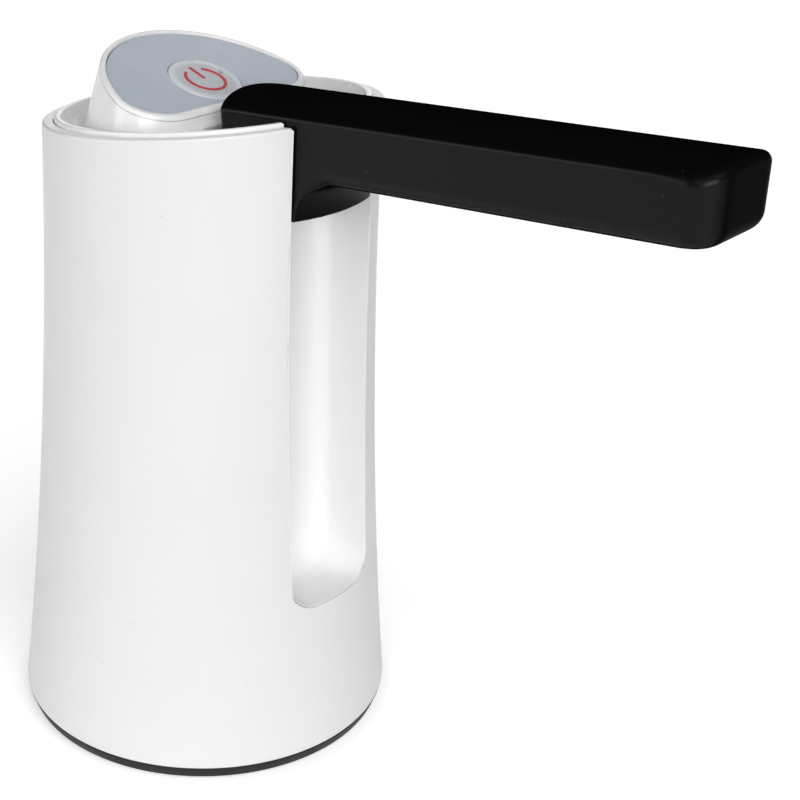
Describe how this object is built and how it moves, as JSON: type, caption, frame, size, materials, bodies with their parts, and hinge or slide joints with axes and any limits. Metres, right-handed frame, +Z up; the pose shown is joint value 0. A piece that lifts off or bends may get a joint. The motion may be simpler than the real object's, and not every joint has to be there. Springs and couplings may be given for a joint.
{
  "type": "electric water jug pump",
  "caption": "Slim round electric water pump that sits on a jug neck, with a slanted top, a sloping power key and a black spout arm that folds down into a channel in its front.",
  "frame": {"origin": "centre of the foot ring on the table, at the mouth of the bottle socket", "axes": "+X along the open spout arm, +Z up"},
  "size_m": [0.1555, 0.08, 0.1493],
  "materials": {
    "shell_white": "glossy white",
    "cover_white": "satin white",
    "arm_black": "black, fine satin",
    "ring_dark": "dark grey",
    "inner_white": "plain",
    "silicone": "food-grade silicone",
    "dark_rubber": "matt",
    "hose_clear": "milky silicone",
    "lens_grey": "glossy grey",
    "icon_red": "printed red",
    "led_grey": "clear",
    "board_green": "solder mask",
    "black_plastic": "moulded",
    "pump_grey": "moulded",
    "gear_cream": "moulded",
    "steel": "plain",
    "bronze": "sintered",
    "ferrite": "dull",
    "laminations": "stacked",
    "cell_wrap": "blue film"
  },
  "bodies": {
    "body": {"outer_shell": "shell_white", "base_ring": "ring_dark", "base_cup": "inner_white", "neck_gasket": "silicone", "inlet_nipple": "inner_white", "nipple_grommet": "dark_rubber", "channel_liner": "shell_white", "top_cover": "cover_white", "panel_lens": "lens_grey", "tact_switch": "black_plastic", "control_board": "board_green", "board_screws": "steel", "hinge_water_pin": "inner_white", "hinge_plain_pin": "steel", "inner_frame": "inner_white", "frame_screws": "steel", "base_screws": "steel", "motor_can": "steel", "motor_end_cap": "black_plastic", "motor_magnets": "ferrite", "motor_bushes": "bronze", "pump_body": "pump_grey", "pump_cover": "pump_grey", "pump_screws": "steel", "idler_pin": "steel", "shaft_seal": "dark_rubber", "outlet_hose": "hose_clear", "battery_cell": "cell_wrap", "battery_pad": "dark_rubber", "charge_board": "board_green", "charge_socket": "steel"},
    "arm": {"arm_upper": "arm_black", "arm_lower": "arm_black", "spout_nozzle": "arm_black", "arm_tube": "hose_clear", "hinge_bushes": "bronze", "hinge_o_ring": "dark_rubber"},
    "button": {"power_button": "lens_grey", "power_icon": "icon_red", "led_window": "led_grey"},
    "rotor": {"rotor_core": "laminations", "motor_shaft": "steel", "drive_gear": "gear_cream"},
    "idler": {"idler_gear": "gear_cream"}
  },
  "joints": [
    {"name": "arm_fold", "type": "hinge", "parent": "body", "child": "arm", "pos_m": [0.0233, 0, 0.12968], "axis": [0, 1, 0], "range_deg": [0, 93.5]},
    {"name": "button_press", "type": "slide", "parent": "body", "child": "button", "axis": [-0.2924, 0, -0.9563], "range_m": [0, 0.0006], "stiffness_N_per_m": 1200},
    {"name": "pump_spin", "type": "hinge", "parent": "body", "child": "rotor", "pos_m": [-0.006, -0.014, 0.05], "axis": [0, 0, 1], "continuous": true},
    {"name": "idler_spin", "type": "hinge", "parent": "body", "child": "idler", "pos_m": [0.00222, -0.014, 0.05], "axis": [0, 0, 1], "continuous": true}
  ],
  "couplings": [
    {"joint": "idler_spin", "follows": "pump_spin", "ratio": -1}
  ]
}
